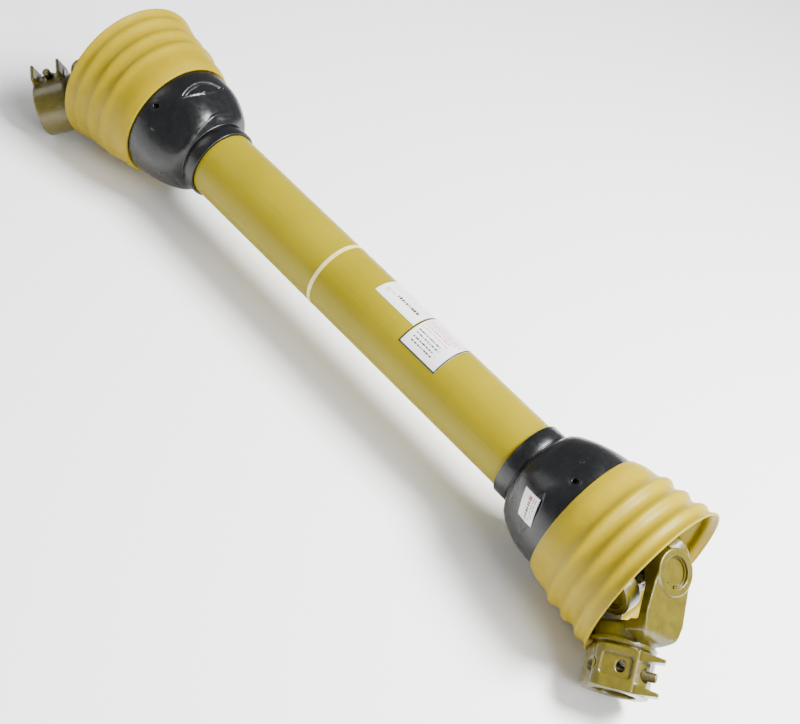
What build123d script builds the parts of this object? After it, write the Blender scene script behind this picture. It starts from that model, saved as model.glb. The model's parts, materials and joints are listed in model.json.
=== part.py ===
from build123d import *
import os

# Power take-off drive shaft with a telescoping guard, all sizes in millimetres.
# The shaft lies along X on its two guard bells, tractor end at -X, implement end at +X.
# Every end is built in its own frame: joint centre at the origin, +X outwards along the shaft.

# Driving dimensions of the whole shaft
joint_span = 710.0          # between the two joint centres with the shaft closed
guard_length = 155.0        # collar edge of a cone to the rim of its bell
rim_overhang = 15.0         # bell rim beyond the joint centre
rim_radius = 80.4

# Cross and bearing caps: the common 27 x 74.6 kit
cap_radius = 13.5
cap_span = 74.6
cap_inner_end = 21.6
cap_floor = 2.5
cap_bore_radius = 11.0
trunnion_radius = 8.2
trunnion_end = 34.6
needle_radius = 1.38
needle_count = 20
needle_start, needle_end = 23.4, 34.4
fit_gap = 0.03              # press fits between pieces of one body

# Forks: shared by the inner and outer yokes
ear_inner_face = 24.0
ear_outer_face = 41.0
ear_radius = 20.0
throat_depth = 47.0
throat_corner = 7.0
fork_depth = 62.0
shoulder_radius = 16.0
boss_height = 1.2           # raised disc round each cap bore
circlip_groove_radius = 14.7
circlip_start = 37.4
circlip_width = 1.3

# Outer (quick-release) yoke: six-spline bore for a 1 3/8 inch stub shaft
outer_hub_radius = 28.5
outer_hub_end = 104.0
spline_major_radius = 17.45
spline_minor_radius = 14.85
spline_width = 8.7
spline_count = 6
pilot_radius = 18.3         # plain lead-in at the mouth of the bore
pilot_depth = 6.0
pin_boss_angle = 45.0       # the push pin crosses the hub half way between the ears
pin_x = 86.5
pin_offset = 19.8
pin_radius = 6.0
pin_travel = 8.0
button_radius = 4.0
pin_boss_radius = 32.0
fin_x = (72.5, 100.0)
fin_reach = 36.0
fin_height = 18.0
pocket_x, pocket_floor = 84.5, 26.8
pocket_size = (19.0, 26.0)

# Inner yoke: hub with a running groove for the guard bearing
inner_hub_radius = 32.0
inner_hub_end = 92.0
groove_radius = 29.0
groove_start, groove_end = 75.5, 83.5
socket_start = 56.0
tube_pin_x = 69.5
tube_pin_radius = 5.0

# Three-lobe profile tubes
lobe_distance = 16.0
outer_lobe_radius = 9.0
outer_tube_wall = 3.2
slide_gap = 0.3
inner_tube_wall = 3.4
profile_tube_reach = 237.0  # free end of each profile tube past the middle

# Guard tubes
guard_tube_radius = 35.0
guard_tube_wall = 2.4
inner_guard_radius = 31.7
inner_guard_wall = 2.4
guard_tube_seat = 97.0      # tube end, measured from the joint centre
guard_mouth_depth = 8.0
guard_insertion = 5.0       # how far the outer tube enters the far collar when closed
inner_guard_reach = 225.0

# Cones, bells and bearing rings
shell_thickness = 3.0
bell_thickness = 2.6
collar_radius = 38.0
collar_length = 16.0
sleeve_radius = 38.4
sleeve_end = 86.0
ring_gap = 0.1
port_x = -78.0              # greasing port through each cone, turned about X from the Z axis
port_radius = 3.0
implement_port_turn = 32.0
tractor_port_turn = -51.0

# Rest pose of the joints: the heavy outer yokes have dropped to the ground
fork_roll = 8.3             # roll of the inner yokes' ear axis about the shaft
implement_pitch, implement_yaw = 40.3, -45.5
tractor_pitch, tractor_yaw = 40.3, 45.5

# Surface markings of the outer guard tube: start and length along X, start and sweep about X
band_x, band_width = -40.0, 4.0
data_label = (12.0, 45.0, 51.0, 60.0)
warning_label = (60.0, 48.0, 56.0, 80.0)
film_thickness = 0.25

half_span = joint_span / 2
collar_x = rim_overhang - guard_length


def along_x(radius, start, end):
    """Solid round bar on the X axis from start to end."""
    return Pos((start + end) / 2, 0, 0) * Rot(0, 90, 0) * Cylinder(radius, end - start)


def ring_on_x(outer, inner, start, end):
    return along_x(outer, start, end) - along_x(inner, start - 1, end + 1)


def ring_on_z(outer, inner, start, end):
    middle = Pos(0, 0, (start + end) / 2)
    return middle * (Cylinder(outer, end - start) - Cylinder(inner, end - start + 2))


def both_sides(shape):
    """The shape and its mirror image below the XY plane."""
    return shape.solids() + mirror(shape, Plane.XY).solids()


def turned(outline):
    """Solid of revolution about X from (x, radius) points that close on themselves."""
    corners = [point for index, point in enumerate(outline) if point != outline[index - 1]]
    return revolve(make_face(Polyline(*corners, close=True)), Axis.X)


# ---------------------------------------------------------------- joint pieces

def fork():
    """Two ears on the Z axis with raised bosses, joined by a rounded throat to a bulging base."""
    arm_face = ear_outer_face - boss_height
    shoulder = shoulder_radius
    upper = [
        Line((-ear_radius, arm_face), (fork_depth - shoulder, arm_face)),
        RadiusArc((fork_depth - shoulder, arm_face), (fork_depth, arm_face - shoulder), shoulder),
        Line((fork_depth, arm_face - shoulder), (fork_depth, 0)),
    ]
    lower = [mirror(edge, Plane.XZ) for edge in upper]
    back = Line((-ear_radius, arm_face), (-ear_radius, -arm_face))
    side = make_face([*upper, *lower, back])
    side -= RectangleRounded(2 * throat_depth, 2 * ear_inner_face, throat_corner)
    plate = extrude(Plane.XZ * side, 35, both=True)
    half = [(0, ear_radius - 1), (40, 22), (54, 19), (fork_depth, 9)]
    top_points = half + [(x, -y) for x, y in reversed(half)]
    top = make_face(Polyline(*top_points, close=True)) + Circle(ear_radius - 1)
    body = plate & extrude(top, ear_outer_face, both=True)
    relief = make_face(Polyline((12.5, 22), (29, 38.5), (34, 22), close=True))
    relief = Pos(8, 0, 0) * extrude(Plane.YZ * relief, throat_depth - 10)
    for turn in (0, 180):
        side_cut = Rot(turn, 0, 0) * relief
        body -= side_cut + mirror(side_cut, Plane.XZ)
    boss = both_sides(Pos(0, 0, (ear_inner_face + ear_outer_face) / 2)
                      * Cylinder(ear_radius, ear_outer_face - ear_inner_face))
    return body + [chamfer(part.edges().filter_by(GeomType.CIRCLE), 0.8) for part in boss]


def cap_seats():
    """Bores and circlip grooves that both ears share."""
    seats = Cylinder(cap_radius + fit_gap, 2 * ear_outer_face + 4)
    for side in (1, -1):
        middle = side * (circlip_start + circlip_width / 2)
        seats += Pos(0, 0, middle) * Cylinder(circlip_groove_radius, circlip_width + 0.1)
    return seats


def splined_bore():
    bore = along_x(spline_minor_radius, 40, outer_hub_end + 2)
    middle = (40 + outer_hub_end + 2) / 2
    length = outer_hub_end + 2 - 40
    keys = Box(length, spline_width, 4 * spline_major_radius)
    for index in range(spline_count // 2):
        bore += Pos(middle, 0, 0) * Rot(index * 360 / spline_count, 0, 0) * keys
    bore &= along_x(spline_major_radius, 40, outer_hub_end + 2)
    return bore + along_x(pilot_radius, outer_hub_end - pilot_depth, outer_hub_end + 2)


def pin_housing():
    """Boss over the push pin and the two wedge fins that shield its button, pin along Y."""
    block = Pos(86.5, 2, 17.5) * Box(35, 46, 23)
    block &= along_x(pin_boss_radius, 68, outer_hub_end)
    wedge_points = [(-4, 16), (-1.4, fin_reach), (1.4, fin_reach), (4, 16)]
    fin = make_face(Polyline(*wedge_points, close=True))
    fin = Pos(0, 0, pin_offset - fin_height / 2) * extrude(fin, fin_height)
    return block + Pos(fin_x[0], 0, 0) * fin + Pos(fin_x[1], 0, 0) * fin


def pin_cuts():
    """Pin bore, the pocket over it and the oval window in the pocket's floor."""
    cuts = Pos(pin_x, 2, pin_offset) * Rot(90, 0, 0) * Cylinder(pin_radius + 0.05, 72)
    cuts += Pos(pocket_x, -2, pocket_floor) * extrude(RectangleRounded(*pocket_size, 3), 12)
    cuts += Pos(pocket_x, 1.5, pin_offset) * extrude(SlotOverall(10, 7), 10)
    return cuts


def outer_yoke():
    hub = along_x(outer_hub_radius, 68, outer_hub_end)
    hub = fillet(hub.edges().group_by(Axis.X)[0], 4)
    hub = chamfer(hub.edges().group_by(Axis.X)[-1], 1.8)
    neck = along_x(25.0, 50, 72)
    flange = fillet(along_x(28.0, 61.5, 66.5).edges(), 2.0)
    body = fork() + hub + neck + flange + Rot(pin_boss_angle, 0, 0) * pin_housing()
    body -= cap_seats()
    body -= splined_bore()
    return body - Rot(pin_boss_angle, 0, 0) * pin_cuts()


def push_pin():
    """Locking pin along Y: slim domed button, full shank and the waist that frees the shaft."""
    button = Pos(0, 25, 0) * Rot(90, 0, 0) * Cylinder(button_radius, 14)
    button = fillet(button.edges().group_by(Axis.Y)[-1], 2.0)
    shank = Pos(0, 7.5, 0) * Rot(90, 0, 0) * Cylinder(pin_radius, 28)
    waist = Pos(0, 8, 0) * Rot(90, 0, 0) * (Cylinder(pin_radius + 1, 21.4) - Cylinder(2.4, 21.4))
    return Rot(pin_boss_angle, 0, 0) * Pos(pin_x, 0, pin_offset) * (button + shank - waist)


def pin_spring():
    """Spring behind the pin, at the length it has with the button fully pressed."""
    wire = 0.45
    path = Helix(pitch=1.05, height=3.0, radius=4.6)
    coil = sweep(Plane(origin=path @ 0, z_dir=path % 0) * Circle(wire), path, is_frenet=True)
    place = Rot(pin_boss_angle, 0, 0) * Pos(pin_x, -18.3, pin_offset) * Rot(-90, 0, 0)
    return place * coil


def pin_plug():
    disc = Rot(90, 0, 0) * Cylinder(pin_radius, 2.0)
    return Rot(pin_boss_angle, 0, 0) * Pos(pin_x, -20.0, pin_offset) * disc


def cross():
    """Spider with four trunnions on Y and Z."""
    spider = Sphere(16)
    for angle in (0, 90):
        arm = Cylinder(11.5, 2 * (cap_inner_end - 0.3))
        trunnion = Cylinder(trunnion_radius, 2 * trunnion_end)
        trunnion = chamfer(trunnion.edges().filter_by(GeomType.CIRCLE), 0.8)
        spider += Rot(angle, 0, 0) * (arm + trunnion)
    nipple_hole = Pos(0, 0, 14) * Cylinder(3.0, 8) + Pos(0, 0, 21.6) * Cylinder(4.8, 10)
    return spider - Rot(45, 0, 0) * nipple_hole


def grease_nipple():
    """Nipple screwed in between two trunnions."""
    stem = Pos(0, 0, 13.5) * Cylinder(2.95, 6.8)
    hexagon = Pos(0, 0, 16.7) * extrude(RegularPolygon(4.2, 6), 2.6)
    neck = Pos(0, 0, 20) * Cylinder(2.0, 3)
    ball = Pos(0, 0, 22) * Sphere(2.6)
    return Rot(45, 0, 0) * (stem + hexagon + neck + ball)


def bearing_caps():
    cup = Pos(0, 0, (cap_inner_end + cap_span / 2) / 2) * Cylinder(cap_radius, cap_span / 2 - cap_inner_end)
    cup = chamfer(cup.edges().group_by(Axis.Z)[-1], 0.8)
    bore_end = cap_span / 2 - cap_floor
    cup -= Pos(0, 0, (20 + bore_end) / 2) * Cylinder(cap_bore_radius, bore_end - 20)
    return both_sides(cup)


def cap_seals():
    return both_sides(ring_on_z(cap_bore_radius - fit_gap, trunnion_radius + 0.05, cap_inner_end + 0.3, 23.2))


def needle_rollers():
    """Full complement of needles round each trunnion."""
    pitch_radius = (trunnion_radius + cap_bore_radius) / 2
    needle = Cylinder(needle_radius, needle_end - needle_start)
    height = (needle_start + needle_end) / 2
    spots = Pos(0, 0, height) * PolarLocations(pitch_radius, needle_count)
    return [solid for spot in spots for solid in both_sides(spot * needle)]


def circlips():
    """Internal retaining rings, open towards +X, with two tool eyes."""
    start = circlip_start + 0.05
    clip = ring_on_z(circlip_groove_radius - 0.1, 12.0, start, start + circlip_width - 0.1)
    middle = Pos(0, 0, start + circlip_width / 2 - 0.05)
    clip -= middle * Pos(14, 0, 0) * Box(12, 8, 4)
    for side in (1, -1):
        eye = Cylinder(2.2, circlip_width - 0.1) - Cylinder(0.9, 4)
        clip += middle * Pos(10.8, side * 5.2, 0) * eye
    return both_sides(clip)


# --------------------------------------------------------------- inner yoke and tubes

def lobed(radius):
    """Three-lobe outline in the YZ plane."""
    outline = offset(RegularPolygon(lobe_distance, 3), radius, kind=Kind.ARC)
    return Plane.YZ * outline


def lobed_bar(radius, start, end):
    return Pos(start, 0, 0) * extrude(lobed(radius), end - start)


def inner_yoke(lobe_radius):
    """Fork with a lobed socket for its tube, hub along +X, ears on Z."""
    body = fork() + along_x(inner_hub_radius, 50, inner_hub_end)
    body -= ring_on_x(inner_hub_radius + 2, groove_radius, groove_start, groove_end)
    body -= cap_seats()
    body -= lobed_bar(lobe_radius + fit_gap, socket_start, inner_hub_end + 2)
    body -= Pos(tube_pin_x, 0, 0) * Cylinder(tube_pin_radius + fit_gap, 80)
    return body


def tube_pin(length):
    """Slotted spring pin through the hub and its tube."""
    pin = Cylinder(tube_pin_radius, length) - Cylinder(tube_pin_radius - 1.4, length + 2)
    return Pos(tube_pin_x, 0, 0) * (pin - Pos(tube_pin_radius, 0, 0) * Box(4, 1.4, length + 2))


def profile_tube(lobe_radius, wall, start, end):
    tube = lobed_bar(lobe_radius, start, end) - lobed_bar(lobe_radius - wall, start - 1, end + 1)
    return tube


# --------------------------------------------------------------- guard pieces

def cone_outline():
    """Outer surface of a cone from collar to edge, (x, radius) from the joint centre."""
    shape = [(18.5, 41.5), (24, 46.0), (34.5, 51.7), (45, 55.8), (55.5, 58.8), (64, 60.2), (78, 60.6)]
    collar = [(0, collar_radius - 0.8), (0.8, collar_radius), (collar_length, collar_radius)]
    return [(collar_x + x, radius) for x, radius in collar + shape]


def guard_cone(tube_radius, mouth_radius, port_turn):
    """Black cone: collar, flared shell with a greasing port, and the sleeve for tube and bearing."""
    outside = cone_outline()
    edge_x, edge_radius = outside[-1]
    inside = [(edge_x, edge_radius - shell_thickness)]
    inside += [(x + 1.2, radius - shell_thickness) for x, radius in reversed(outside[4:-1])]
    inside += [(collar_x + 24.0, sleeve_radius), (-sleeve_end, sleeve_radius)]
    bore = [(-sleeve_end, guard_tube_radius + 0.05), (-guard_tube_seat, guard_tube_radius + 0.05)]
    bore += [(-guard_tube_seat, tube_radius + 0.05)]
    mouth = collar_x + guard_mouth_depth
    bore += [(mouth, tube_radius + 0.05), (mouth, mouth_radius), (collar_x, mouth_radius)]
    cone = turned(outside + inside + bore)
    port = Pos(port_x, 0, 55) * Cylinder(port_radius, 20)
    rim = Pos(port_x, 0, 57.5) * (Cylinder(port_radius + 2.5, 6) - Cylinder(port_radius, 8))
    return Rot(port_turn, 0, 0) * (cone + rim - port)


def bell_outline():
    """Outer surface of a bell from its seat on the cone to the rim."""
    return [
        (-67.0, 62.8), (-65.0, 63.6), (-60, 65.6), (-53, 67.2), (-46, 68.0), (-43, 68.2), (-39.5, 71.0),
        (-35, 72.0), (-31, 71.0), (-27.5, 69.8), (-24, 71.0), (-17, 73.8), (-12, 73.0), (-8.5, 71.6),
        (-5, 72.8), (1, 75.8), (6, 76.4), (10, 77.4), (rim_overhang, rim_radius),
    ]


def guard_bell():
    """Flexible bell: a ribbed sleeve stretched over the edge of the cone."""
    outside = bell_outline()
    inside = [(x, radius - bell_thickness) for x, radius in reversed(outside[3:])]
    seat = [(-60.5, 60.7), (-67.0, 60.7)]
    return turned(outside + inside + seat)


def bearing_ring():
    """Split nylon ring that runs in the yoke groove and carries the cone."""
    web = ring_on_x(sleeve_radius, groove_radius + ring_gap, -groove_end + 0.5, -groove_start - 0.5)
    spigot = ring_on_x(guard_tube_radius, inner_hub_radius + 0.6, -guard_tube_seat + 1, -groove_end + 0.5)
    ring = web + spigot
    for angle in (0, 120, 240):
        ring += Rot(angle, 0, 0) * Pos(-79.5, 0, 39.0) * Box(7, 12, 6)
    return ring - Pos(-86, 0, -35) * Box(40, 2, 20)


def tube_film(start, length, turn, sweep_angle):
    """Thin film on the outer guard tube."""
    seat = guard_tube_radius + 0.01
    film = ring_on_x(seat + film_thickness, seat, start, start + length)
    if sweep_angle >= 360:
        return film
    return film & Rot(turn, 0, 0) * wedge(sweep_angle, start, length)


def wedge(angle, start, length):
    """Wedge about the X axis, from the Y axis up to the angle."""
    arc = CenterArc((0, 0), 60, 0, angle)
    face = make_face([Line((0, 0), arc @ 0), arc, Line(arc @ 1, (0, 0))])
    return Pos(start - 2, 0, 0) * extrude(Plane.YZ * face, length + 4)


# --------------------------------------------------------------- assembly

def end_pieces(lobe_radius, tube_radius, mouth_radius, port_turn, pitch, yaw, roll):
    """All pieces of one end in that end's frame, keyed by name."""
    to_fork = Rot(roll, 0, 0)
    inner_place = to_fork * Rot(90, 0, 0) * Rot(0, 180, 0)
    cross_place = to_fork * Rot(0, pitch, 0)
    outer_place = cross_place * Rot(0, 0, yaw)
    side_caps = cross_place * Rot(90, 0, 0)
    straight = {
        "guard_cone": guard_cone(tube_radius, mouth_radius, port_turn),
        "guard_bell": guard_bell(),
        "bearing_ring": bearing_ring(),
    }
    inner = {
        "inner_yoke": inner_yoke(lobe_radius),
        "tube_pin": tube_pin(2 * inner_hub_radius - 5),
        "inner_bearing_caps": bearing_caps(),
        "inner_cap_seals": cap_seals(),
        "inner_needles": needle_rollers(),
        "inner_circlips": circlips(),
    }
    outer = {
        "outer_yoke": outer_yoke(),
        "outer_bearing_caps": bearing_caps(),
        "outer_cap_seals": cap_seals(),
        "outer_needles": needle_rollers(),
        "outer_circlips": circlips(),
        "push_pin": push_pin(),
        "pin_spring": pin_spring(),
        "pin_plug": pin_plug(),
    }
    middle = {"cross": cross(), "grease_nipple": grease_nipple()}
    placed = dict(straight)
    for group, place in ((inner, inner_place), (outer, outer_place), (middle, cross_place)):
        for name, shape in group.items():
            solids = shape if isinstance(shape, list) else shape.solids()
            placed[name] = Compound(children=[place * solid for solid in solids])
    return placed


def shaft_pieces():
    """Tubes and markings in the shaft frame, origin midway between the joints."""
    male_radius = outer_lobe_radius - outer_tube_wall - slide_gap
    tube_start = half_span - socket_start
    mouth = half_span + collar_x + guard_insertion
    phase = Rot(fork_roll + 90, 0, 0)
    seat = half_span - guard_tube_seat
    return {
        "outer_profile_tube": phase * drilled(
            profile_tube(outer_lobe_radius, outer_tube_wall, -tube_start, profile_tube_reach), -1),
        "inner_profile_tube": phase * drilled(
            profile_tube(male_radius, inner_tube_wall, -profile_tube_reach, tube_start), 1),
        "outer_guard_tube": ring_on_x(
            guard_tube_radius, guard_tube_radius - guard_tube_wall, -seat, mouth),
        "inner_guard_tube": ring_on_x(
            inner_guard_radius, inner_guard_radius - inner_guard_wall, -inner_guard_reach, seat),
        "marking_band": tube_film(band_x - band_width / 2, band_width, 0, 360),
        "data_label": tube_film(*data_label),
        "warning_label": tube_film(*warning_label),
    }


def drilled(tube, side):
    """Cross hole for the spring pin at one end of a profile tube."""
    hole = Cylinder(tube_pin_radius + fit_gap, 80)
    return tube - Pos(side * (half_span - tube_pin_x), 0, 0) * hole


def build():
    male_radius = outer_lobe_radius - outer_tube_wall - slide_gap
    tractor = end_pieces(outer_lobe_radius, guard_tube_radius, guard_tube_radius + 0.05,
                         tractor_port_turn, tractor_pitch, tractor_yaw, -fork_roll)
    implement = end_pieces(male_radius, inner_guard_radius, guard_tube_radius + 0.35,
                           implement_port_turn, implement_pitch, implement_yaw, fork_roll)
    nodes = shaft_pieces()
    for name, shape in tractor.items():
        nodes["tractor_" + name] = Pos(-half_span, 0, 0) * Rot(0, 0, 180) * shape
    for name, shape in implement.items():
        nodes["implement_" + name] = Pos(half_span, 0, 0) * shape
    return nodes


def ground_shift(nodes):
    """Move that puts the origin under the middle of the shaft, on the ground."""
    boxes = [shape.bounding_box() for shape in nodes.values()]
    low = [min(getattr(box.min, axis) for box in boxes) for axis in "XYZ"]
    high = [max(getattr(box.max, axis) for box in boxes) for axis in "XYZ"]
    return (-(low[0] + high[0]) / 2, -(low[1] + high[1]) / 2, -low[2])


nodes = build()
shift = ground_shift(nodes)
os.makedirs("parts", exist_ok=True)
for name, shape in nodes.items():
    export_step(Pos(*shift) * shape, f"parts/{name}.step")
print("shift", [round(value, 3) for value in shift])
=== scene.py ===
import json
import math
import random

import bpy
import numpy as np
from mathutils import Matrix, Vector


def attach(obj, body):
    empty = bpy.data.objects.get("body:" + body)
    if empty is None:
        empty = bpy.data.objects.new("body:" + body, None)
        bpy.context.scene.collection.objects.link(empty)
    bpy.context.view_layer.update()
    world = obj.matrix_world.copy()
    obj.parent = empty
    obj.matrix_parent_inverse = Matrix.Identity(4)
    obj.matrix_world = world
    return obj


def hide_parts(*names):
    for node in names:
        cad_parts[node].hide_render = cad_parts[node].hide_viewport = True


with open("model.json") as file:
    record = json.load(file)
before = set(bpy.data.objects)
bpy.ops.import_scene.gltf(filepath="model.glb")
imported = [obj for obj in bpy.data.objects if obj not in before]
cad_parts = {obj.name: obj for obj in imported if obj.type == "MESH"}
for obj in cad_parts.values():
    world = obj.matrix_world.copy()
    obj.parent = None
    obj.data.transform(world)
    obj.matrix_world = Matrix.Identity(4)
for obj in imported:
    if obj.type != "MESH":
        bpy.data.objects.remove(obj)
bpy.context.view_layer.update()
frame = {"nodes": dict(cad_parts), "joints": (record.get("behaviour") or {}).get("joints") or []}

random.seed(11)
mm = 0.001

# both ends are the same parts; each has its own frame with x outwards from the joint centre
joints = {joint["name"]: joint for joint in frame["joints"]}
restSwing = {"tractor": 45.5, "implement": -45.5}          # degrees that the outer yokes hang over at rest
sideOf = {"tractor": -1, "implement": 1}
centreOf = {end: Vector(joints[end + "_cross_pitch"]["pos_m"]) for end in sideOf}
middle = (centreOf["tractor"] + centreOf["implement"]) / 2


def forkPlace(end, outer):
    # a fork's own frame: joint centre at the origin, hub along x, ears along z
    earAxis = Vector(joints[end + "_cross_pitch"]["axis"])
    capAxis = Vector(joints[end + "_yoke_swing"]["axis"])
    if outer:
        swing = math.radians(restSwing[end])
        hub = earAxis.cross(capAxis) * math.cos(swing) + earAxis * math.sin(swing)
        up = capAxis
    else:
        hub, up = Vector((-sideOf[end], 0, 0)), earAxis
    across = up.cross(hub)
    place = Matrix((hub, across, up)).transposed().to_4x4()
    place.translation = centreOf[end]
    return place


def linearColour(hexText):
    values = [int(hexText[i:i + 2], 16) / 255 for i in (1, 3, 5)]
    return [v / 12.92 if v <= 0.04045 else ((v + 0.055) / 1.055) ** 2.4 for v in values] + [1.0]


def perSize(sizeMm):
    # texture scale for a pattern that repeats every sizeMm, in a scene in metres
    return 1000.0 / sizeMm


def addNode(tree, kind, values=None, links=None, output=0, **settings):
    # adds a shader node with its settings, fixed values and links, and gives back one of its outputs
    node = tree.nodes.new("ShaderNode" + kind)
    for name, value in settings.items():
        setattr(node, name, value)
    for socket, value in (values or {}).items():
        node.inputs[socket].default_value = value
    for socket, source in (links or {}).items():
        tree.links.new(source, node.inputs[socket])
    return node.outputs[output]


def startMaterial(name, shaderValues):
    material = bpy.data.materials.new(name)
    material.use_nodes = True
    tree = material.node_tree
    shader = tree.nodes["Principled BSDF"]
    for socket, value in shaderValues.items():
        shader.inputs[socket].default_value = value
    return material, tree, shader, addNode(tree, "TexCoord", output="Object")


def mouldedPolyethylene():
    # blow-moulded polyethylene: waxy ochre with soft flow shades, rub marks and a few specks of dirt
    look = {"body": "#8E7A00", "pale": "#9A8608", "rubbed": "#6E5E00", "dirt": "#3A3008",
            "flowMm": 45, "rubMm": 9, "speckMm": 11, "dirtyMm": 23, "waveMm": 14, "skinMm": 1.1}
    material, tree, shader, coords = startMaterial("mouldedPolyethylene", {
        "IOR": 1.51, "Specular IOR Level": 0.2})
    flow = addNode(tree, "TexNoise", {"Scale": perSize(look["flowMm"]), "Detail": 4.0, "Roughness": 0.6},
                   {"Vector": coords})
    flow = addNode(tree, "MapRange", {"From Min": 0.35, "From Max": 0.7}, {"Value": flow})
    colour = addNode(tree, "Mix", {6: linearColour(look["body"]), 7: linearColour(look["pale"])}, {0: flow},
                     output=2, data_type="RGBA")
    rub = addNode(tree, "TexNoise", {"Scale": perSize(look["rubMm"]), "Detail": 6.0, "Roughness": 0.65},
                  {"Vector": coords})
    rubbed = addNode(tree, "MapRange", {"From Min": 0.58, "From Max": 0.8, "To Max": 0.35}, {"Value": rub})
    colour = addNode(tree, "Mix", {7: linearColour(look["rubbed"])}, {0: rubbed, 6: colour},
                     output=2, data_type="RGBA")
    speck = addNode(tree, "TexVoronoi", {"Scale": perSize(look["speckMm"]), "Randomness": 1.0},
                    {"Vector": coords})
    speck = addNode(tree, "MapRange", {"From Min": 0.055, "From Max": 0.035}, {"Value": speck})
    dirty = addNode(tree, "TexNoise", {"Scale": perSize(look["dirtyMm"]), "Detail": 2.0}, {"Vector": coords})
    dirty = addNode(tree, "MapRange", {"From Min": 0.56, "From Max": 0.6}, {"Value": dirty})
    speck = addNode(tree, "Math", None, {0: speck, 1: dirty}, operation="MULTIPLY")
    colour = addNode(tree, "Mix", {7: linearColour(look["dirt"])}, {0: speck, 6: colour},
                     output=2, data_type="RGBA")
    tree.links.new(colour, shader.inputs["Base Color"])
    gloss = addNode(tree, "MapRange", {"From Min": 0.3, "From Max": 0.75, "To Min": 0.36, "To Max": 0.52},
                    {"Value": rub})
    tree.links.new(gloss, shader.inputs["Roughness"])
    waves = addNode(tree, "TexNoise", {"Scale": perSize(look["waveMm"]), "Detail": 2.0}, {"Vector": coords})
    skin = addNode(tree, "TexNoise", {"Scale": perSize(look["skinMm"]), "Detail": 3.0}, {"Vector": coords})
    waves = addNode(tree, "Bump", {"Strength": 1.0, "Distance": 0.35 * mm}, {"Height": waves})
    skin = addNode(tree, "Bump", {"Strength": 1.0, "Distance": 0.02 * mm}, {"Height": skin, "Normal": waves})
    tree.links.new(skin, shader.inputs["Normal"])
    return material


def extrudedPolyethylene():
    # extruded polyethylene: satin ochre with faint die lines along the tube and light handling scuffs
    look = {"body": "#857800", "pale": "#908206", "line": "#6A5E00",
            "cloudMm": 80, "lineMm": 2.2, "lineStretch": (0.012, 1.0, 1.0), "scuffMm": 6}
    material, tree, shader, coords = startMaterial("extrudedPolyethylene", {
        "IOR": 1.51, "Specular IOR Level": 0.2})
    cloud = addNode(tree, "TexNoise", {"Scale": perSize(look["cloudMm"]), "Detail": 3.0}, {"Vector": coords})
    cloud = addNode(tree, "MapRange", {"From Min": 0.35, "From Max": 0.7}, {"Value": cloud})
    colour = addNode(tree, "Mix", {6: linearColour(look["body"]), 7: linearColour(look["pale"])}, {0: cloud},
                     output=2, data_type="RGBA")
    stretched = addNode(tree, "Mapping", {"Scale": look["lineStretch"]}, {"Vector": coords})
    lines = addNode(tree, "TexNoise", {"Scale": perSize(look["lineMm"]), "Detail": 3.0, "Roughness": 0.6},
                    {"Vector": stretched})
    dark = addNode(tree, "MapRange", {"From Min": 0.5, "From Max": 0.85, "To Max": 0.3}, {"Value": lines})
    colour = addNode(tree, "Mix", {7: linearColour(look["line"])}, {0: dark, 6: colour},
                     output=2, data_type="RGBA")
    tree.links.new(colour, shader.inputs["Base Color"])
    scuff = addNode(tree, "TexNoise", {"Scale": perSize(look["scuffMm"]), "Detail": 6.0, "Roughness": 0.7},
                    {"Vector": coords})
    gloss = addNode(tree, "MapRange", {"From Min": 0.35, "From Max": 0.75, "To Min": 0.33, "To Max": 0.47},
                    {"Value": scuff})
    tree.links.new(gloss, shader.inputs["Roughness"])
    lines = addNode(tree, "Bump", {"Strength": 1.0, "Distance": 0.04 * mm}, {"Height": lines})
    scuff = addNode(tree, "Bump", {"Strength": 1.0, "Distance": 0.015 * mm}, {"Height": scuff, "Normal": lines})
    tree.links.new(scuff, shader.inputs["Normal"])
    return material


def mouldedPolypropylene():
    # injection-moulded polypropylene: black, half gloss, with slight sinks and pale scuffs on the high spots
    look = {"body": "#060709", "scuff": "#121418", "scuffMm": 7, "sinkMm": 16, "grainMm": 0.9}
    material, tree, shader, coords = startMaterial("mouldedPolypropylene", {"IOR": 1.49})
    scuff = addNode(tree, "TexNoise", {"Scale": perSize(look["scuffMm"]), "Detail": 7.0, "Roughness": 0.7},
                    {"Vector": coords})
    pale = addNode(tree, "MapRange", {"From Min": 0.56, "From Max": 0.78, "To Max": 0.6}, {"Value": scuff})
    colour = addNode(tree, "Mix", {6: linearColour(look["body"]), 7: linearColour(look["scuff"])}, {0: pale},
                     output=2, data_type="RGBA")
    tree.links.new(colour, shader.inputs["Base Color"])
    gloss = addNode(tree, "MapRange", {"From Min": 0.3, "From Max": 0.75, "To Min": 0.24, "To Max": 0.42},
                    {"Value": scuff})
    tree.links.new(gloss, shader.inputs["Roughness"])
    sinks = addNode(tree, "TexNoise", {"Scale": perSize(look["sinkMm"]), "Detail": 2.0}, {"Vector": coords})
    grain = addNode(tree, "TexNoise", {"Scale": perSize(look["grainMm"]), "Detail": 2.0}, {"Vector": coords})
    sinks = addNode(tree, "Bump", {"Strength": 1.0, "Distance": 0.5 * mm}, {"Height": sinks})
    grain = addNode(tree, "Bump", {"Strength": 1.0, "Distance": 0.015 * mm}, {"Height": grain, "Normal": sinks})
    tree.links.new(grain, shader.inputs["Normal"])
    return material


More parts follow.
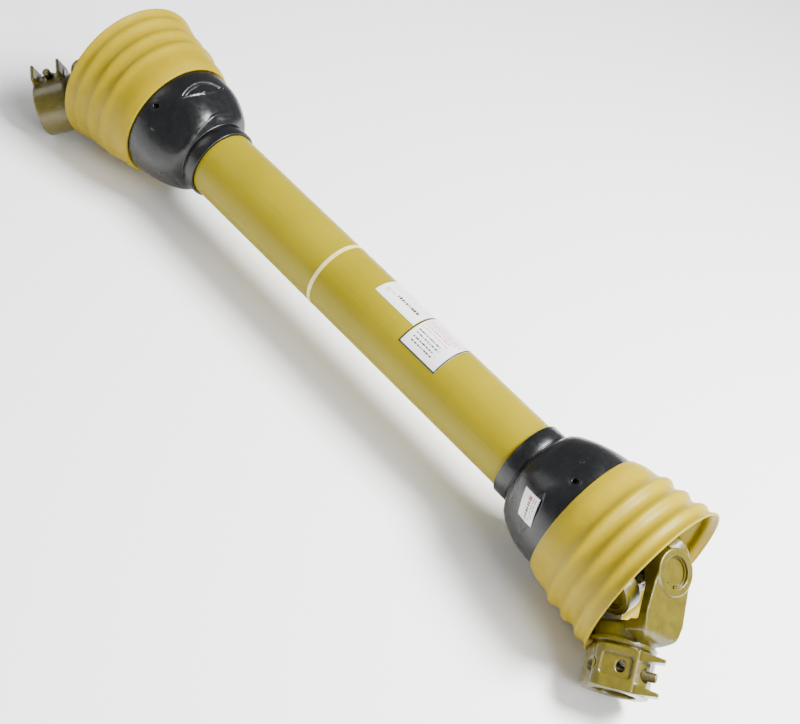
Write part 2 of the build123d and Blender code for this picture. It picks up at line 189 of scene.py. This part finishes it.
def forgedEnamel():
    # thick olive enamel on a forging: wet gloss over a lumpy skin, painted shade darkening the corners, worn bare
    # on edges
    look = {"body": "#4C4406", "paintedCornerShade": "#2C2704", "thin": "#5A510C", "bare": "#5A5746",
            "lumpMm": 7, "chipMm": 2.4, "peelMm": 2.6}
    material, tree, shader, coords = startMaterial("forgedEnamel", {
        "Roughness": 0.3, "IOR": 1.52, "Coat Weight": 0.3, "Coat Roughness": 0.14})
    lumps = addNode(tree, "TexNoise", {"Scale": perSize(look["lumpMm"]), "Detail": 3.0, "Roughness": 0.55},
                    {"Vector": coords})
    thin = addNode(tree, "MapRange", {"From Min": 0.35, "From Max": 0.7}, {"Value": lumps})
    colour = addNode(tree, "Mix", {6: linearColour(look["body"]), 7: linearColour(look["thin"])}, {0: thin},
                     output=2, data_type="RGBA")
    edge = addNode(tree, "NewGeometry", output="Pointiness")
    # painted shade: pointiness darkens the concave corners and recesses, standing in for the shade that falls
    # there
    paintedCornerShade = addNode(tree, "MapRange", {"From Min": 0.5, "From Max": 0.44, "To Max": 0.7}, {"Value": edge})
    colour = addNode(tree, "Mix", {7: linearColour(look["paintedCornerShade"])}, {0: paintedCornerShade, 6: colour},
                     output=2, data_type="RGBA")
    worn = addNode(tree, "MapRange", {"From Min": 0.56, "From Max": 0.66}, {"Value": edge})
    chips = addNode(tree, "TexNoise", {"Scale": perSize(look["chipMm"]), "Detail": 5.0, "Roughness": 0.7},
                    {"Vector": coords})
    chips = addNode(tree, "MapRange", {"From Min": 0.62, "From Max": 0.68}, {"Value": chips})
    bare = addNode(tree, "Math", None, {0: worn, 1: chips}, operation="MULTIPLY")
    colour = addNode(tree, "Mix", {7: linearColour(look["bare"])}, {0: bare, 6: colour},
                     output=2, data_type="RGBA")
    tree.links.new(colour, shader.inputs["Base Color"])
    peel = addNode(tree, "TexNoise", {"Scale": perSize(look["peelMm"]), "Detail": 2.0}, {"Vector": coords})
    lumps = addNode(tree, "Bump", {"Strength": 1.0, "Distance": 0.5 * mm}, {"Height": lumps})
    peel = addNode(tree, "Bump", {"Strength": 1.0, "Distance": 0.09 * mm}, {"Height": peel, "Normal": lumps})
    tree.links.new(peel, shader.inputs["Normal"])
    return material


def stainedMetal(name, bodyHex, stainHex, roughness, grainMm, depthMm):
    # bare or plated metal with oil stains over a fine grain
    material, tree, shader, coords = startMaterial(name, {"Metallic": 1.0})
    stain = addNode(tree, "TexNoise", {"Scale": perSize(5), "Detail": 5.0, "Roughness": 0.65},
                    {"Vector": coords})
    dark = addNode(tree, "MapRange", {"From Min": 0.42, "From Max": 0.72}, {"Value": stain})
    colour = addNode(tree, "Mix", {6: linearColour(bodyHex), 7: linearColour(stainHex)}, {0: dark},
                     output=2, data_type="RGBA")
    tree.links.new(colour, shader.inputs["Base Color"])
    gloss = addNode(tree, "MapRange", {"From Min": 0.3, "From Max": 0.75, "To Min": roughness * 0.8,
                                       "To Max": roughness * 1.4}, {"Value": stain})
    tree.links.new(gloss, shader.inputs["Roughness"])
    grain = addNode(tree, "TexNoise", {"Scale": perSize(grainMm), "Detail": 3.0}, {"Vector": coords})
    grain = addNode(tree, "Bump", {"Strength": 1.0, "Distance": depthMm * mm}, {"Height": grain})
    tree.links.new(grain, shader.inputs["Normal"])
    return material


def evenPolymer(name, bodyHex, roughness):
    # film, ink, nylon or rubber: one colour that darkens in faint patches, over a slight crinkle
    material, tree, shader, coords = startMaterial(name, {"Roughness": roughness, "IOR": 1.5})
    body = linearColour(bodyHex)
    aged = [value * 0.86 for value in body[:3]] + [1.0]
    wear = addNode(tree, "TexNoise", {"Scale": perSize(12), "Detail": 5.0, "Roughness": 0.6},
                   {"Vector": coords})
    wear = addNode(tree, "MapRange", {"From Min": 0.45, "From Max": 0.8}, {"Value": wear})
    colour = addNode(tree, "Mix", {6: body, 7: aged}, {0: wear}, output=2, data_type="RGBA")
    tree.links.new(colour, shader.inputs["Base Color"])
    crinkle = addNode(tree, "TexNoise", {"Scale": perSize(6), "Detail": 2.0}, {"Vector": coords})
    crinkle = addNode(tree, "Bump", {"Strength": 1.0, "Distance": 0.05 * mm}, {"Height": crinkle})
    tree.links.new(crinkle, shader.inputs["Normal"])
    return material


bellPlastic = mouldedPolyethylene()
tubePlastic = extrudedPolyethylene()
conePlastic = mouldedPolypropylene()
enamel = forgedEnamel()
filmCream = evenPolymer("creamMarkingFilm", "#D8CE88", 0.4)         # satin cream tape
filmWhite = evenPolymer("whiteLabelFilm", "#E6E4E4", 0.32)          # gloss white label stock
inkBlack = evenPolymer("blackLabelInk", "#202022", 0.35)            # dense print, never quite black
inkGrey = evenPolymer("greyLabelInk", "#74767A", 0.35)              # small print, grey at this distance
inkRed = evenPolymer("redLabelInk", "#B8525A", 0.35)                # faded warning red
nylon = evenPolymer("naturalNylon", "#D6D0BC", 0.45)                # milky, slightly waxy bearing ring
rubber = evenPolymer("nitrileRubber", "#1C1C1C", 0.6)               # dull black seals
zinc = stainedMetal("yellowZincPlate", "#B8AE8C", "#8A8060", 0.3, 0.8, 0.01)           # straw-coloured nipple
pinSteel = stainedMetal("blackenedPinSteel", "#77704E", "#4E4830", 0.42, 1.2, 0.02)    # dark, oiled pins
forgedSteel = stainedMetal("machinedForging", "#6E6A62", "#4A443A", 0.38, 2.0, 0.04)   # greasy grey spider
bearingSteel = stainedMetal("groundBearingSteel", "#9A9A98", "#7C7A74", 0.2, 0.6, 0.004)  # bright needles
tubeSteel = stainedMetal("drawnTubeSteel", "#6C6C6C", "#4E4A42", 0.36, 1.5, 0.02)      # oiled profile tubes

# the finish of each CAD node, by a word in its name
finishes = {
    "guard_cone": conePlastic, "guard_bell": bellPlastic, "guard_tube": tubePlastic, "marking_band": filmCream,
    "label": filmWhite, "bearing_ring": nylon, "yoke": enamel, "caps": enamel, "circlips": enamel,
    "seals": rubber, "needles": bearingSteel, "grease_nipple": zinc, "pin_plug": enamel, "push_pin": pinSteel,
    "pin_spring": pinSteel, "tube_pin": pinSteel, "profile_tube": tubeSteel, "cross": forgedSteel,
}
for nodeName, node in frame["nodes"].items():
    finish = next(finishes[word] for word in finishes if word in nodeName)
    for slot in node.material_slots:
        slot.material = finish
print("materials on", len(frame["nodes"]), "nodes")


def newPiece(name, vertices, faces, materials, indices=None):
    mesh = bpy.data.meshes.new(name)
    mesh.from_pydata([tuple(v) for v in vertices], [], faces)
    for material in materials:
        mesh.materials.append(material)
    if indices is not None:
        mesh.polygons.foreach_set("material_index", indices)
    mesh.polygons.foreach_set("use_smooth", [True] * len(mesh.polygons))
    mesh.update()
    piece = bpy.data.objects.new(name, mesh)
    bpy.context.scene.collection.objects.link(piece)
    return piece


def smoothCurve(points, x):
    # smooth line through (x, y) points
    xs, ys = (np.array(values, float) for values in zip(*points))
    slopes = np.gradient(ys, xs)
    spot = np.clip(np.searchsorted(xs, x) - 1, 0, len(xs) - 2)
    width = xs[spot + 1] - xs[spot]
    t = np.clip((x - xs[spot]) / width, 0, 1)
    rise = ys[spot + 1] - ys[spot]
    return (ys[spot] + rise * (3 * t**2 - 2 * t**3)
            + slopes[spot] * width * (t**3 - 2 * t**2 + t) + slopes[spot + 1] * width * (t**3 - t**2))


def easeStep(value):
    t = np.clip(value, 0, 1)
    return t * t * (3 - 2 * t)


def softHump(value, width):
    return np.exp(-(value / width) ** 2)


def turnedPiece(name, end, outline, segments, material, relief):
    # closed shell turned about the shaft axis from (x, radius) in mm, with relief added to the radius
    side, centre = sideOf[end], centreOf[end]
    xs, radii = (np.array(values, float) for values in zip(*outline))
    angles = np.linspace(0, 2 * math.pi, segments, endpoint=False)
    grid = radii[:, None] + relief(xs[:, None], radii[:, None], angles[None, :])
    points = np.empty((len(xs), segments, 3))
    points[..., 0] = centre.x + side * xs[:, None] * mm
    points[..., 1] = centre.y + grid * np.cos(angles) * mm
    points[..., 2] = centre.z + grid * np.sin(angles) * mm
    faces = []
    for i in range(len(xs)):
        j = (i + 1) % len(xs)
        for k in range(segments):
            n = (k + 1) % segments
            corners = (i * segments + k, j * segments + k, j * segments + n, i * segments + n)
            faces.append(corners if side > 0 else corners[::-1])
    return newPiece(name, points.reshape(-1, 3), faces, [material])


# guard bells, mm; line is the outer line without its ribs
bell = {
    "seatStart": -67.0, "seatEnd": -60.5, "seatRadius": 60.75, "rim": 15.0, "wall": 2.6,
    "segments": 256, "step": 0.9,
    "line": ((-67, 62.9), (-60, 65.6), (-46, 67.8), (-20, 70.5), (0, 73.2), (8, 75.4), (15, 80.0)),
    "ribs": (-35, -17, 1), "ribWidth": 5.0, "ribHeight": {"tractor": 2.34, "implement": 3.9},
    "lipTurn": (0.35, 2.8), "lipSteps": 7, "outOfRound": 0.2, "phase": {"tractor": 0.7, "implement": 2.1},
}


def bellOutline(end):
    wall, half = bell["wall"], bell["wall"] / 2
    count = int((bell["rim"] - bell["seatStart"]) / bell["step"])
    xs = np.linspace(bell["seatStart"], bell["rim"] - half, count)
    radii = smoothCurve(bell["line"], xs)
    for rib in bell["ribs"]:
        radii = radii + bell["ribHeight"][end] * softHump(xs - rib, bell["ribWidth"])
    outer = list(zip(xs, radii))
    tipX, tipRadius = outer[-1][0], outer[-1][1] - half
    turns = np.linspace(*bell["lipTurn"], bell["lipSteps"])
    lip = [(tipX + half * math.sin(a), tipRadius + half * math.cos(a)) for a in turns]
    inner = [(x, r - wall) for x, r in reversed(outer) if x > bell["seatEnd"] + 2]
    seat = [(bell["seatEnd"], bell["seatRadius"]), (bell["seatStart"], bell["seatRadius"])]
    return outer + lip + inner + seat


def bellRelief(end):
    phase = bell["phase"][end]

    def relief(x, radius, angle):
        # the soft rim is a little out of round, the seat is not
        free = np.clip((x + 60) / 75, 0, 1) ** 2
        waves = np.sin(2 * angle + phase) + 0.5 * np.sin(3 * angle + 2 * phase) - 0.6
        return bell["outOfRound"] * free * waves
    return relief


for end in sideOf:
    piece = turnedPiece(end + "Bell", end, bellOutline(end), bell["segments"], bellPlastic, bellRelief(end))
    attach(piece, end + "_guard")
    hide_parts(end + "_guard_bell")
print("bells")

# cones, mm; along is measured from the collar's edge, and turns are degrees from the grease port
cone = {
    "start": -140.0, "length": 78.0, "wall": 3.0, "segments": 420, "step": 0.75,
    "collarRadius": 38.0, "collarLength": 15.0, "grooveDepth": 0.9, "bodyFrom": 16.5,
    "line": ((16.5, 38.0), (19, 41.8), (24, 46.0), (34.5, 51.7), (45, 55.8), (55.5, 58.8), (64, 60.2),
             (78, 60.6)),
    "mouth": {"tractor": 35.05, "implement": 35.35}, "mouthDepth": 8.0,
    "tube": {"tractor": 35.05, "implement": 31.75}, "tubeSeat": -97.0, "seatRadius": 35.05,
    "sleeveRadius": 38.4, "sleeveEnd": -86.0, "cavityFrom": 25.0,
}
port = {"turn": {"tractor": 141.0, "implement": 122.0}, "hand": {"tractor": -1, "implement": 1},
        "along": 62.0, "radius": 3.0, "rimRadius": 4.2, "rimHeight": 0.5, "wallRadius": 58.0, "cut": 12.0}
lobes = {"count": 5, "height": 1.9, "turn": 8, "from": 17, "rise": 6, "to": 70, "fall": 28}
latch = {"turn": 48.5, "halfSweep": 27, "low": 45.5, "lowBow": 5, "high": 58, "highBow": 7.5,
         "depth": {"tractor": 3.4, "implement": 1.2}, "ridge": {"tractor": 1.4, "implement": 0.0}}
thumbNub = {"along": 46.5, "turn": 46, "radius": 2.0, "share": 1.7}
curlRib = {"along": 21, "swing": 2.6, "turn": 38, "spread": 12, "height": 1.3, "width": 1.3,
           "from": 6, "to": 72, "fade": 6}
squareNub = {"along": 51.4, "turn": -18, "half": 2.2, "edge": 0.7, "height": 0.6}
roundFrom = 72.0                                                    # under the bell the cone is round


def coneRelief(end, withDetails=True):
    def relief(x, radius, angle):
        along = x - cone["start"]
        line = smoothCurve(cone["line"], np.clip(along, cone["bodyFrom"], cone["length"]))
        skin = (radius > line - 0.6) & (along > lobes["from"])      # the outer skin only
        turn = (np.degrees(angle) - port["turn"][end]) * port["hand"][end]
        turn = (turn + 180) % 360 - 180
        window = easeStep((along - lobes["from"]) / lobes["rise"])
        window = window * easeStep((lobes["to"] - along) / lobes["fall"])
        lift = lobes["height"] * window * (-np.cos(np.radians(lobes["count"] * (turn + lobes["turn"]))))
        if withDetails:
            arc = (turn - latch["turn"]) / latch["halfSweep"]
            low, high = latch["low"] + latch["lowBow"] * arc**2, latch["high"] - latch["highBow"] * arc**2
            pocket = easeStep((along - low) / 1.5) * easeStep((high - along) / 2.5) * (np.abs(arc) < 1)
            lift = lift - latch["depth"][end] * pocket
            ridge = latch["ridge"][end]
            lift = lift + ridge * softHump(along - low + 0.4, 0.8) * easeStep((1.05 - np.abs(arc)) / 0.08)
            away = np.hypot(along - thumbNub["along"], (turn - thumbNub["turn"]) * 0.95)
            lift = lift + thumbNub["share"] * ridge * softHump(away, thumbNub["radius"])
            curl = curlRib["along"] + curlRib["swing"] * np.tanh((turn - curlRib["turn"]) / curlRib["spread"])
            reach = easeStep((turn - curlRib["from"]) / curlRib["fade"])
            reach = reach * easeStep((curlRib["to"] - turn) / curlRib["fade"])
            lift = lift + curlRib["height"] * softHump(along - curl, curlRib["width"]) * reach
            half, soft = squareNub["half"], squareNub["edge"]
            nub = easeStep((half - np.abs(along - squareNub["along"])) / soft)
            nub = nub * easeStep((half - np.abs(turn - squareNub["turn"])) / soft)
            lift = lift + squareNub["height"] * nub
            away = np.hypot(along - port["along"], turn * 1.05)
            rim = softHump(away - port["rimRadius"], 0.9) * (along < roundFrom - 0.5)
            lift = lift + port["rimHeight"] * rim
        lift = np.where(along > roundFrom, np.minimum(lift, 0), lift)
        return np.where(skin, lift, 0.0)
    return relief


def coneOutline(end):
    start, length = cone["start"], cone["length"]
    collar, radius, groove = cone["collarLength"], cone["collarRadius"], cone["grooveDepth"]
    outer = [(0, radius - 0.8), (0.25, radius - 0.25), (0.8, radius), (collar * 0.5, radius),
             (collar - 0.6, radius), (collar - 0.2, radius - 0.3), (collar, radius - groove),
             (collar + 1.2, radius - groove), (cone["bodyFrom"], radius)]
    stations = np.linspace(17.2, length, int((length - 17.2) / cone["step"]))
    outer += list(zip(stations, smoothCurve(cone["line"], stations)))
    outer = [(start + along, r) for along, r in outer]
    cavity = start + cone["cavityFrom"]
    inner = [(x, r - cone["wall"]) for x, r in reversed(outer[10::3]) if x > cavity + 2]
    inner += [(cavity, cone["sleeveRadius"]), (cone["sleeveEnd"], cone["sleeveRadius"])]
    tube, mouth, seat = cone["tube"][end], cone["mouth"][end], cone["seatRadius"]
    inner += [(cone["sleeveEnd"], seat), (cone["tubeSeat"], seat), (cone["tubeSeat"], tube - 0.01)]
    inner += [(start + cone["mouthDepth"], tube), (start + cone["mouthDepth"], mouth + 0.01), (start, mouth)]
    return outer + inner


def bakeModifiers(piece):
    graph = bpy.context.evaluated_depsgraph_get()
    mesh = bpy.data.meshes.new_from_object(piece.evaluated_get(graph))
    piece.modifiers.clear()
    piece.data = mesh


def cutHole(piece, centre, direction, radius, length, sides=40):
    # round hole through a wall
    turn = direction.to_track_quat("Z", "Y")
    ring = [turn @ Vector((radius * math.cos(a), radius * math.sin(a), height)) + centre
            for height in (-length / 2, length / 2) for a in np.linspace(0, 2 * math.pi, sides, endpoint=False)]
    faces = [tuple(range(sides - 1, -1, -1)), tuple(range(sides, 2 * sides))]
    faces += [(k, (k + 1) % sides, sides + (k + 1) % sides, sides + k) for k in range(sides)]
    cutter = newPiece("cutter", ring, faces, [])
    modifier = piece.modifiers.new("hole", "BOOLEAN")
    modifier.operation, modifier.object, modifier.solver = "DIFFERENCE", cutter, "EXACT"
    bakeModifiers(piece)
    bpy.data.objects.remove(cutter)


for end in sideOf:
    piece = turnedPiece(end + "Cone", end, coneOutline(end), cone["segments"], conePlastic, coneRelief(end))
    angle = math.radians(port["turn"][end])
    outward = Vector((0, math.cos(angle), math.sin(angle)))
    along = Vector((sideOf[end] * (cone["start"] + port["along"]) * mm, 0, 0))
    at = centreOf[end] + along + outward * port["wallRadius"] * mm
    cutHole(piece, at, outward, port["radius"] * mm, port["cut"] * mm)
    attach(piece, end + "_guard")
    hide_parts(end + "_guard_cone")
print("cones")

# forged yokes: a voxel skin of the CAD solid, smoothed, with the push pin's bore opened again
forging = {"voxel": 0.8, "quickShare": 1.6, "smoothing": 0.5, "rounds": 4}
pinBore = {"x": 86.5, "offset": 19.8, "radius": 6.4, "turn": 45.0, "middle": 2.0, "length": 72.0}


def forgedCopy(nodeName, pieceName, end, outer):
    # the same solid with the rolled edges and slack corners of a painted forging
    place = forkPlace(end, outer)
    mesh = frame["nodes"][nodeName].data.copy()
    mesh.transform(place.inverted())
    piece = bpy.data.objects.new(pieceName, mesh)
    bpy.context.scene.collection.objects.link(piece)
    remesh = piece.modifiers.new("skin", "REMESH")
    remesh.mode = "VOXEL"
    remesh.voxel_size = forging["voxel"] * mm * 1.0
    smooth = piece.modifiers.new("roll", "SMOOTH")
    smooth.factor, smooth.iterations = forging["smoothing"], forging["rounds"]
    bakeModifiers(piece)
    piece.data.transform(place)
    piece.data.materials.clear()
    piece.data.materials.append(enamel)
    return piece


for end in sideOf:
    outerYoke = forgedCopy(end + "_outer_yoke", end + "OuterYoke", end, True)
    boreFrame = forkPlace(end, True) @ Matrix.Rotation(math.radians(pinBore["turn"]), 4, "X")
    boreCentre = boreFrame @ (Vector((pinBore["x"], pinBore["middle"], pinBore["offset"])) * mm)
    boreLine = boreFrame.to_3x3() @ Vector((0, 1, 0))
    cutHole(outerYoke, boreCentre, boreLine, pinBore["radius"] * mm, pinBore["length"] * mm)
    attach(outerYoke, end + "_yoke")
    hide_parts(end + "_outer_yoke")
    innerYoke = forgedCopy(end + "_inner_yoke", end + "InnerYoke", end, False)
    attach(innerYoke, end + "_shaft")
    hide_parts(end + "_inner_yoke")
    for piece in (outerYoke, innerYoke):
        piece.data.polygons.foreach_set("use_smooth", [True] * len(piece.data.polygons))
print("yokes")

# films, mm; a row of print is (start, stop, place across as a share of the width, height, ink, longest bar)
film = {"step": 0.5, "thick": 0.22, "clear": 0.04, "tubeRadius": 35.0}
white, black, grey, red = range(4)
inks = [filmWhite, inkBlack, inkGrey, inkRed]
labels = {
    "data_label": {
        "start": 12.5, "length": 52.0, "turn": 51.0, "sweep": 60.0, "border": 0,
        "rows": ((18, 46, 0.60, 3.6, black, 2.6), (5, 16, 0.66, 1.2, grey, 2.0),
                 (6, 34, 0.42, 0.9, grey, 5.0), (4, 10, 0.74, 1.0, grey, 5.0))},
    "warning_label": {
        "start": 65.5, "length": 47.0, "turn": 56.0, "sweep": 86.0, "border": 1.3,
        "rule": (1.5, 45.5, 0.17, 0.8),
        "rows": ((3, 42, 0.26, 1.4, red, 5.0), (3, 39, 0.33, 1.4, red, 5.0), (3, 36, 0.40, 1.4, red, 5.0),
                 (4, 37, 0.49, 0.9, grey, 5.0), (5, 33, 0.58, 1.6, black, 4.0),
                 (6, 35, 0.66, 1.6, black, 4.0), (7, 33, 0.74, 1.6, black, 4.0), (8, 35, 0.82, 1.6, black, 4.0))},
}
sticker = {"corners": ((33.0, 154.0), (52.0, 152.5), (59.0, 177.0), (40.5, 182.0)),
           "length": 26.0, "width": 20.0, "border": 0.5, "mark": (3, 7, 8, 12, red), "clear": 0.15,
           "rows": ((8, 24, 0.425, 3.0, black, 2.5), (3, 23, 0.675, 1.0, grey, 5.0), (3, 20, 0.8, 0.8, grey, 5.0))}


def filmPiece(name, surface, length, width, bars):
    # film with printed bars; surface(u, v, lift) gives a point in metres, u and v in mm over the film
    columns, rows = int(length / film["step"]), int(width / film["step"])
    points, faces, indices = [], [], []
    for lift in (film["thick"], 0.0):
        for i in range(columns + 1):
            for k in range(rows + 1):
                points.append(surface(i * length / columns, k * width / rows, lift))
    layer = (columns + 1) * (rows + 1)
    for i in range(columns):
        for k in range(rows):
            a = i * (rows + 1) + k
            corners = (a, a + rows + 1, a + rows + 2, a + 1)
            faces.append(corners)
            faces.append(tuple(layer + c for c in reversed(corners)))
            u, v = (i + 0.5) * length / columns, (k + 0.5) * width / rows
            ink = next((bar[4] for bar in bars if bar[0] < u < bar[1] and bar[2] < v < bar[3]), white)
            indices += [ink, white]
    edge = [i * (rows + 1) for i in range(columns + 1)]
    edge += [columns * (rows + 1) + k for k in range(1, rows + 1)]
    edge += [i * (rows + 1) + rows for i in range(columns - 1, -1, -1)]
    edge += [k for k in range(rows - 1, 0, -1)]
    for first, second in zip(edge, edge[1:] + edge[:1]):
        faces.append((first, layer + first, layer + second, second))
        indices.append(white)
    return newPiece(name, points, faces, inks, indices)


def borderBars(length, width, thick, ink):
    return [(0, length, 0, thick, ink), (0, length, width - thick, width, ink),
            (0, thick, 0, width, ink), (length - thick, length, 0, width, ink)]


def printedRows(rows, width):
    # lines of print, drawn as plain bars of mixed length
    bars = []
    for start, stop, share, height, ink, longest in rows:
        u, v = start, width * share
        while u < stop:
            length = random.uniform(1.0, longest)
            bars.append((u, min(u + length, stop), v, v + height, ink))
            u += length + random.uniform(0.6, 1.2)
    return bars


def tubeSurface(label):
    def surface(u, v, lift):
        angle = math.radians(label["turn"]) + v / film["tubeRadius"]
        radius = (film["tubeRadius"] + film["clear"] + lift) * mm
        return (middle.x + (label["start"] + u) * mm, middle.y + radius * math.cos(angle),
                middle.z + radius * math.sin(angle))
    return surface


def stickerSurface(u, v, lift):
    # between four corners given as (along, turn) on the implement cone
    s, t = u / sticker["length"], v / sticker["width"]
    (a0, p0), (a1, p1), (a2, p2), (a3, p3) = sticker["corners"]
    along = (1 - s) * ((1 - t) * a0 + t * a1) + s * ((1 - t) * a3 + t * a2)
    angle = math.radians((1 - s) * ((1 - t) * p0 + t * p1) + s * ((1 - t) * p3 + t * p2))
    line = float(smoothCurve(cone["line"], np.array([along]))[0])
    raised = float(stickerRelief(np.array([along + cone["start"]]), np.array([line]), np.array([angle]))[0])
    radius = (line + raised + sticker["clear"] + lift) * mm
    centre = centreOf["implement"]
    return (centre.x + (cone["start"] + along) * mm, centre.y + radius * math.cos(angle),
            centre.z + radius * math.sin(angle))


for nodeName, label in labels.items():
    length, width = label["length"], math.radians(label["sweep"]) * film["tubeRadius"]
    bars = []
    if label["border"]:
        left, right, share, height = label["rule"]
        bars = borderBars(length, width, label["border"], black)
        bars.append((left, right, width * share, width * share + height, grey))
    bars += printedRows(label["rows"], width)
    piece = filmPiece(nodeName + "Film", tubeSurface(label), length, width, bars)
    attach(piece, "tractor_guard")
    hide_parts(nodeName)

stickerRelief = coneRelief("implement", withDetails=False)
bars = borderBars(sticker["length"], sticker["width"], sticker["border"], grey) + [sticker["mark"]]
bars += printedRows(sticker["rows"], sticker["width"])
stickerPiece = filmPiece("coneSticker", stickerSurface, sticker["length"], sticker["width"], bars)
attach(stickerPiece, "implement_guard")
print("labels")

stage = {"floor": "#FDFDFD", "floorHalf": 6.0, "patchMm": 400, "world": 0.40}
lights = {
    "overheadBox": {"at": (0.85, 0.5, 1.55), "width": 0.9, "height": 0.6, "watts": 135},
    "leftBox": {"at": (-1.7, -0.9, 1.3), "width": 1.0, "height": 1.0, "watts": 8},
    "rightBox": {"at": (1.7, -0.5, 1.2), "width": 0.8, "height": 1.2, "watts": 34},
}
view = {"from": (595.9, -925.3, 852.4), "right": (0.6575, 0.682, 0.319), "up": (-0.6461, 0.2926, 0.705),
        "lens": 67.5, "sensor": 36}


def studioBoard():
    # painted board: matt and nearly white, with very soft patches
    material, tree, shader, coords = startMaterial("studioBoard", {"Roughness": 0.85})
    pale = linearColour(stage["floor"])
    soft = addNode(tree, "TexNoise", {"Scale": perSize(stage["patchMm"]), "Detail": 2.0}, {"Vector": coords})
    soft = addNode(tree, "MapRange", {"From Min": 0.3, "From Max": 0.7, "To Max": 0.2}, {"Value": soft})
    colour = addNode(tree, "Mix", {6: pale, 7: [v * 0.97 for v in pale[:3]] + [1]}, {0: soft},
                     output=2, data_type="RGBA")
    tree.links.new(colour, shader.inputs["Base Color"])
    return material


def softBox(name, box):
    lamp = bpy.data.lights.new(name, "AREA")
    lamp.shape, lamp.size, lamp.size_y, lamp.energy = "RECTANGLE", box["width"], box["height"], box["watts"]
    holder = bpy.data.objects.new(name, lamp)
    holder.location = box["at"]
    holder.rotation_euler = (middle - Vector(box["at"])).to_track_quat("-Z", "Y").to_euler()
    bpy.context.scene.collection.objects.link(holder)


half = stage["floorHalf"]
corners = [(-half, -half, 0), (half, -half, 0), (half, half, 0), (-half, half, 0)]
floor = newPiece("floor", corners, [(0, 1, 2, 3)], [studioBoard()])
for name, box in lights.items():
    softBox(name, box)
world = bpy.data.worlds.new("studio")
bpy.context.scene.world = world
world.use_nodes = True
world.node_tree.nodes["Background"].inputs["Color"].default_value = (1, 1, 1, 1)
world.node_tree.nodes["Background"].inputs["Strength"].default_value = stage["world"]

lens = bpy.data.cameras.new("camera")
lens.lens, lens.sensor_width, lens.clip_start = view["lens"], view["sensor"], 0.05
camera = bpy.data.objects.new("camera", lens)
bpy.context.scene.collection.objects.link(camera)
right = Vector(view["right"]).normalized()
back = right.cross(Vector(view["up"])).normalized()
place = Matrix((right, back.cross(right), back)).transposed().to_4x4()
place.translation = middle + Vector(view["from"]) * mm
camera.matrix_world = place
bpy.context.scene.camera = camera
print("stage")
